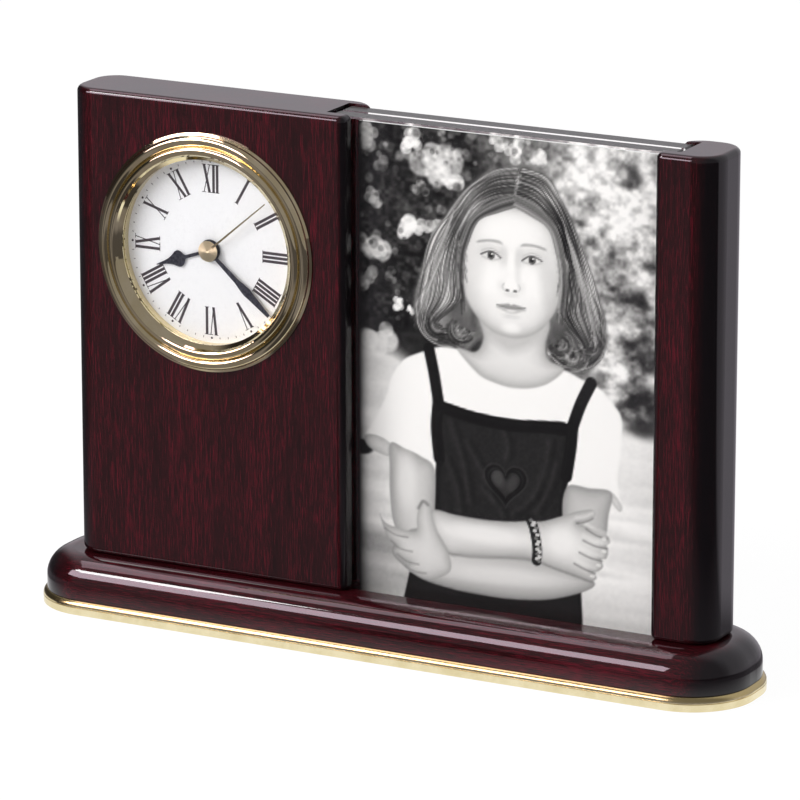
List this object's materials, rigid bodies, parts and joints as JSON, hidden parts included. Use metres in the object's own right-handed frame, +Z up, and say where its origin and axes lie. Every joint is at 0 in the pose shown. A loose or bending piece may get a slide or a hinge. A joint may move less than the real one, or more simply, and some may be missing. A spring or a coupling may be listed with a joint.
{
  "type": "mantel clock with picture frame",
  "caption": "Gloss rosewood clock block and side post on a brass-edged plinth, with a picture held upright between glass plates that lift out of grooves.",
  "frame": {"origin": "on the standing surface, under the middle of the plinth's bounding box", "axes": "+X to the right along the front, +Y towards the back, +Z up; the dial faces -Y"},
  "size_m": [0.234, 0.045, 0.1595],
  "materials": {
    "rosewood": "high-gloss red-brown lacquer over straight-grained rosewood, end grain left rough in the grooves",
    "polished_brass": "polished and lacquered",
    "glass": "clear, polished edges",
    "crystal_glass": "clear flat watch glass",
    "print_paper": "black-and-white photographic print, semi-gloss",
    "felt": "short dark green felt",
    "steel_screw": "zinc-plated steel",
    "beech_dowel": "plain beech",
    "case_plastic": "black moulded plastic",
    "rubber_band": "soft black rubber",
    "dial_enamel": "satin white with printed black numerals",
    "hand_black": "satin black-blue paint",
    "gear_plastic": "natural acetal",
    "copper_wire": "enamelled copper winding",
    "soft_iron": "stamped nickel iron",
    "board_green": "glass-epoxy board with green mask",
    "chip_black": "black resin",
    "bright_steel": "nickel-plated steel"
  },
  "bodies": {
    "base": {"base_plinth": "rosewood", "base_moulding": "polished_brass", "base_felt": "felt", "clock_case": "rosewood", "side_post": "rosewood", "case_screws": "steel_screw", "locating_dowels": "beech_dowel", "moulding_pins": "polished_brass"},
    "front_plate_glass": {"front_glass": "glass"},
    "rear_plate_glass": {"rear_glass": "glass"},
    "print": {"photo_print": "print_paper"},
    "insert": {"insert_cup": "case_plastic", "grip_band": "rubber_band", "bezel": "polished_brass", "crystal": "crystal_glass", "crystal_ring": "polished_brass", "dial": "dial_enamel", "front_plate": "case_plastic", "rear_plate": "case_plastic", "plate_screws": "steel_screw", "stator": "soft_iron", "coil_core": "soft_iron", "coil_winding": "copper_wire", "circuit_board": "board_green", "control_chip": "chip_black", "quartz_can": "bright_steel", "front_contact": "bright_steel", "side_contact": "bright_steel"},
    "battery": {"battery": "bright_steel"},
    "battery_cover": {"battery_cover": "case_plastic"},
    "rotor": {"rotor": "gear_plastic"},
    "step_wheel": {"step_wheel": "gear_plastic"},
    "second": {"second_wheel": "gear_plastic", "second_hand": "polished_brass", "hub_cap": "polished_brass"},
    "third_wheel": {"third_wheel": "gear_plastic"},
    "centre_wheel": {"centre_wheel": "gear_plastic"},
    "minute": {"cannon_pinion": "gear_plastic", "minute_hand": "hand_black"},
    "minute_wheel": {"minute_wheel": "gear_plastic"},
    "hour": {"hour_wheel": "gear_plastic", "hour_hand": "hand_black"},
    "knob": {"setting_knob": "case_plastic"}
  },
  "joints": [
    {"name": "front_glass_lift", "type": "slide", "parent": "base", "child": "front_plate_glass", "axis": [0, 0, 1], "range_m": [0, 0.153]},
    {"name": "rear_glass_lift", "type": "slide", "parent": "base", "child": "rear_plate_glass", "axis": [0, 0, 1], "range_m": [0, 0.153]},
    {"name": "print_lift", "type": "slide", "parent": "base", "child": "print", "axis": [0, 0, 1], "range_m": [0, 0.153]},
    {"name": "insert_pull", "type": "slide", "parent": "base", "child": "insert", "axis": [0, -1, 0], "range_m": [0, 0.03]},
    {"name": "cover_off", "type": "slide", "parent": "insert", "child": "battery_cover", "axis": [0, 1, 0], "range_m": [0, 0.024]},
    {"name": "battery_out", "type": "slide", "parent": "insert", "child": "battery", "axis": [0, 1, 0], "range_m": [0, 0.012]},
    {"name": "second_turn", "type": "hinge", "parent": "insert", "child": "second", "pos_m": [-0.05745, -0.0044, 0.1142], "axis": [0, 1, 0], "continuous": true},
    {"name": "rotor_turn", "type": "hinge", "parent": "insert", "child": "rotor", "pos_m": [-0.04631, -0.0044, 0.12424], "axis": [0, 1, 0], "continuous": true},
    {"name": "step_wheel_turn", "type": "hinge", "parent": "insert", "child": "step_wheel", "pos_m": [-0.05307, -0.0044, 0.12178], "axis": [0, 1, 0], "continuous": true},
    {"name": "third_wheel_turn", "type": "hinge", "parent": "insert", "child": "third_wheel", "pos_m": [-0.06544, -0.0044, 0.11129], "axis": [0, 1, 0], "continuous": true},
    {"name": "centre_wheel_turn", "type": "hinge", "parent": "insert", "child": "centre_wheel", "pos_m": [-0.05745, -0.0044, 0.1142], "axis": [0, 1, 0], "continuous": true},
    {"name": "minute_turn", "type": "hinge", "parent": "insert", "child": "minute", "pos_m": [-0.05745, -0.0044, 0.1142], "axis": [0, 1, 0], "continuous": true},
    {"name": "minute_wheel_turn", "type": "hinge", "parent": "insert", "child": "minute_wheel", "pos_m": [-0.0554, -0.0044, 0.10856], "axis": [0, 1, 0], "continuous": true},
    {"name": "hour_turn", "type": "hinge", "parent": "insert", "child": "hour", "pos_m": [-0.05745, -0.0044, 0.1142], "axis": [0, 1, 0], "continuous": true},
    {"name": "knob_turn", "type": "hinge", "parent": "insert", "child": "knob", "pos_m": [-0.05309, -0.0044, 0.10222], "axis": [0, 1, 0], "continuous": true}
  ],
  "couplings": [
    {"joint": "battery_out", "follows": "cover_off", "ratio": 0.5},
    {"joint": "rotor_turn", "follows": "second_turn", "ratio": 30},
    {"joint": "step_wheel_turn", "follows": "second_turn", "ratio": -6},
    {"joint": "third_wheel_turn", "follows": "second_turn", "ratio": -0.13333},
    {"joint": "centre_wheel_turn", "follows": "second_turn", "ratio": 0.016667},
    {"joint": "minute_wheel_turn", "follows": "minute_turn", "ratio": -0.33333},
    {"joint": "hour_turn", "follows": "minute_turn", "ratio": 0.083333},
    {"joint": "knob_turn", "follows": "minute_turn", "ratio": 0.66667}
  ]
}
